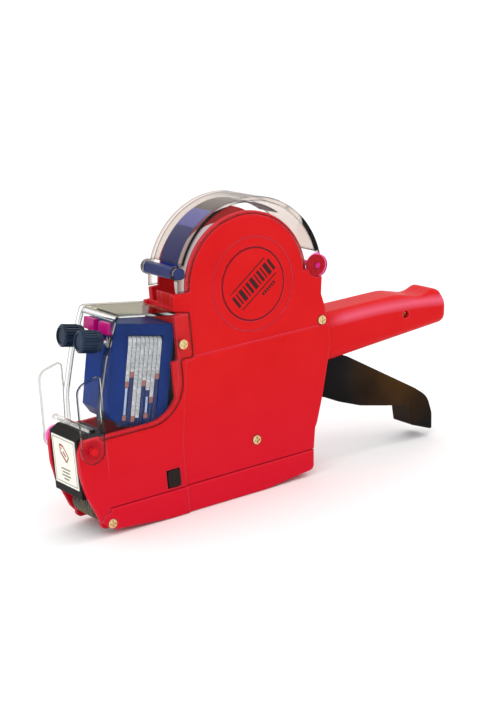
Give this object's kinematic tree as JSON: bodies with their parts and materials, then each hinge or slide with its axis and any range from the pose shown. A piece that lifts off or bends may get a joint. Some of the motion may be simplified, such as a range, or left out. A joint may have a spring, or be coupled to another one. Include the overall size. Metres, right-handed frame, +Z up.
{
  "type": "price labeling gun",
  "caption": "Hand-held price labeler with a trigger under its handle, a round label roll housing with a clear cover, a hooded print head and a label nose.",
  "frame": {"origin": "centre of the bounding box on the surface that the labeler rests on", "axes": "+X towards the handle, -X towards the label nose, +Z up, and Y across the body, so that the XZ plane is the joint between the body halves"},
  "size_m": [0.2396, 0.0428, 0.1558],
  "materials": {
    "red_plastic": "semi-gloss moulded",
    "red_badge": "satin moulded",
    "clear_plastic": "clear, polished",
    "blue_plastic": "gloss",
    "navy_plastic": "semi-gloss",
    "black_plastic": "satin",
    "knob_plastic": "semi-gloss",
    "trigger_plastic": "semi-gloss",
    "magenta_plastic": "translucent gloss",
    "white_plastic": "satin",
    "white_plate": "printed gloss film",
    "band_rubber": "matt",
    "black_rubber": "matt, ribbed",
    "ink_felt": "ink-soaked felt",
    "label_paper": "label stock",
    "core_board": "spiral-wound board",
    "steel": "plated",
    "gold_screw": "yellow plated"
  },
  "bodies": {
    "housing": {"shell_near": "red_plastic", "shell_far": "red_plastic", "badge_near": "red_badge", "badge_far": "red_badge", "roll_cover_pin": "steel", "roll_hub_near": "black_plastic", "roll_hub_far": "black_plastic", "head_pivot_shaft": "steel", "head_hood": "clear_plastic", "shield_pivots": "clear_plastic", "nose_block": "black_plastic", "nose_plate": "white_plate", "ink_arm_pin": "steel", "platen": "black_plastic", "platen_pad": "black_rubber", "peel_plate": "steel", "applicator_axle": "steel", "feed_axle": "steel", "cover_hinge_screws": "gold_screw", "trigger_shaft": "steel", "return_spring": "steel", "shell_screws": "gold_screw", "hood_screws": "gold_screw", "handle_screw": "gold_screw"},
    "roll_cover": {"roll_cover": "clear_plastic", "cover_bar": "blue_plastic", "tension_band": "blue_plastic"},
    "label_roll": {"label_roll": "label_paper", "roll_core": "core_board"},
    "print_head": {"print_head_case": "navy_plastic", "head_yoke": "black_plastic", "type_bands_near": "band_rubber", "type_bands_far": "band_rubber", "band_wheels_near": "white_plastic", "band_wheels_far": "white_plastic", "band_guide_near": "navy_plastic", "band_guide_far": "navy_plastic", "pointer_windows": "magenta_plastic"},
    "selector_bush_near": {"selector_bush_near": "white_plastic"},
    "selector_knob_near": {"selector_knob_near": "knob_plastic", "selector_shaft_near": "steel"},
    "selector_bush_far": {"selector_bush_far": "white_plastic"},
    "selector_knob_far": {"selector_knob_far": "knob_plastic", "selector_shaft_far": "steel"},
    "nose_shield": {"nose_shield": "clear_plastic"},
    "ink_arm": {"ink_arm": "black_plastic", "ink_roller_axle": "steel", "ink_arm_spring": "steel"},
    "ink_roller": {"ink_roller": "ink_felt"},
    "applicator_roller": {"applicator_roller": "black_rubber"},
    "feed_wheel": {"feed_wheel": "white_plastic", "ratchet_wheel": "steel"},
    "feed_lever": {"feed_lever": "steel"},
    "feed_pawl": {"feed_pawl": "steel"},
    "bottom_cover": {"bottom_cover": "red_plastic"},
    "latch_near": {"latch_button_near": "black_plastic"},
    "latch_far": {"latch_button_far": "black_plastic"},
    "trigger": {"trigger": "trigger_plastic", "drive_pin": "steel"}
  },
  "joints": [
    {"name": "trigger_squeeze", "type": "hinge", "parent": "housing", "child": "trigger", "pos_m": [0.018, 0, 0.05], "axis": [0, -1, 0], "range_deg": [0, 21], "stiffness_Nm_per_rad": 0.5, "springref_deg": -22.92, "deforming": ["return_spring"]},
    {"name": "print_head_swing", "type": "hinge", "parent": "housing", "child": "print_head", "pos_m": [0.028, 0, 0.075], "axis": [0, -1, 0], "range_deg": [0, 12.05]},
    {"name": "ink_arm_swing", "type": "hinge", "parent": "housing", "child": "ink_arm", "pos_m": [-0.109, 0, 0.038], "axis": [0, -1, 0], "range_deg": [0, 18.05], "deforming": ["ink_arm_spring"]},
    {"name": "ink_roller_spin", "type": "hinge", "parent": "ink_arm", "child": "ink_roller", "pos_m": [-0.104, 0, 0.0485], "axis": [0, 1, 0], "continuous": true},
    {"name": "feed_lever_swing", "type": "hinge", "parent": "housing", "child": "feed_lever", "pos_m": [-0.05, 0, 0.0195], "axis": [0, 1, 0], "range_deg": [0, 20.05]},
    {"name": "feed_pawl_click", "type": "hinge", "parent": "feed_lever", "child": "feed_pawl", "pos_m": [-0.03921, 0, 0.02992], "axis": [0, 1, 0], "range_deg": [0, 10], "stiffness_Nm_per_rad": 0.002, "springref_deg": -11.46},
    {"name": "feed_wheel_spin", "type": "hinge", "parent": "housing", "child": "feed_wheel", "pos_m": [-0.05, 0, 0.0195], "axis": [0, 1, 0], "continuous": true},
    {"name": "applicator_spin", "type": "hinge", "parent": "housing", "child": "applicator_roller", "pos_m": [-0.1055, 0, 0.0136], "axis": [0, 1, 0], "continuous": true},
    {"name": "label_roll_spin", "type": "hinge", "parent": "housing", "child": "label_roll", "pos_m": [-0.012, 0, 0.1117], "axis": [0, 1, 0], "continuous": true},
    {"name": "roll_cover_hinge", "type": "hinge", "parent": "housing", "child": "roll_cover", "pos_m": [0.032, 0, 0.1125], "axis": [0, 1, 0], "range_deg": [0, 100]},
    {"name": "nose_shield_hinge", "type": "hinge", "parent": "housing", "child": "nose_shield", "pos_m": [-0.1132, 0, 0.0469], "axis": [0, -1, 0], "range_deg": [0, 95]},
    {"name": "bottom_cover_hinge", "type": "hinge", "parent": "housing", "child": "bottom_cover", "pos_m": [-0.105, 0, 0.0063], "axis": [0, 1, 0], "range_deg": [0, 60]},
    {"name": "latch_near_press", "type": "slide", "parent": "housing", "child": "latch_near", "axis": [0, 1, 0], "range_m": [0, 0.0013], "stiffness_N_per_m": 400, "springref_m": -0.001},
    {"name": "latch_far_press", "type": "slide", "parent": "housing", "child": "latch_far", "axis": [0, -1, 0], "range_m": [0, 0.0013], "stiffness_N_per_m": 400, "springref_m": -0.001},
    {"name": "selector_near_turn", "type": "hinge", "parent": "print_head", "child": "selector_bush_near", "pos_m": [-0.0759, -0.0092, 0.09307], "axis": [-0.9781, 0, 0.2079], "continuous": true},
    {"name": "selector_near_pull", "type": "slide", "parent": "selector_bush_near", "child": "selector_knob_near", "axis": [-0.9781, 0, 0.2079], "range_m": [0, 0.016]},
    {"name": "selector_far_turn", "type": "hinge", "parent": "print_head", "child": "selector_bush_far", "pos_m": [-0.0759, 0.0092, 0.09307], "axis": [-0.9781, 0, 0.2079], "continuous": true},
    {"name": "selector_far_pull", "type": "slide", "parent": "selector_bush_far", "child": "selector_knob_far", "axis": [-0.9781, 0, 0.2079], "range_m": [0, 0.016]}
  ],
  "couplings": [
    {"joint": "print_head_swing", "follows": "trigger_squeeze", "ratio": 0.57143},
    {"joint": "ink_arm_swing", "follows": "trigger_squeeze", "ratio": 0.85714},
    {"joint": "feed_lever_swing", "follows": "trigger_squeeze", "ratio": 0.95238}
  ]
}
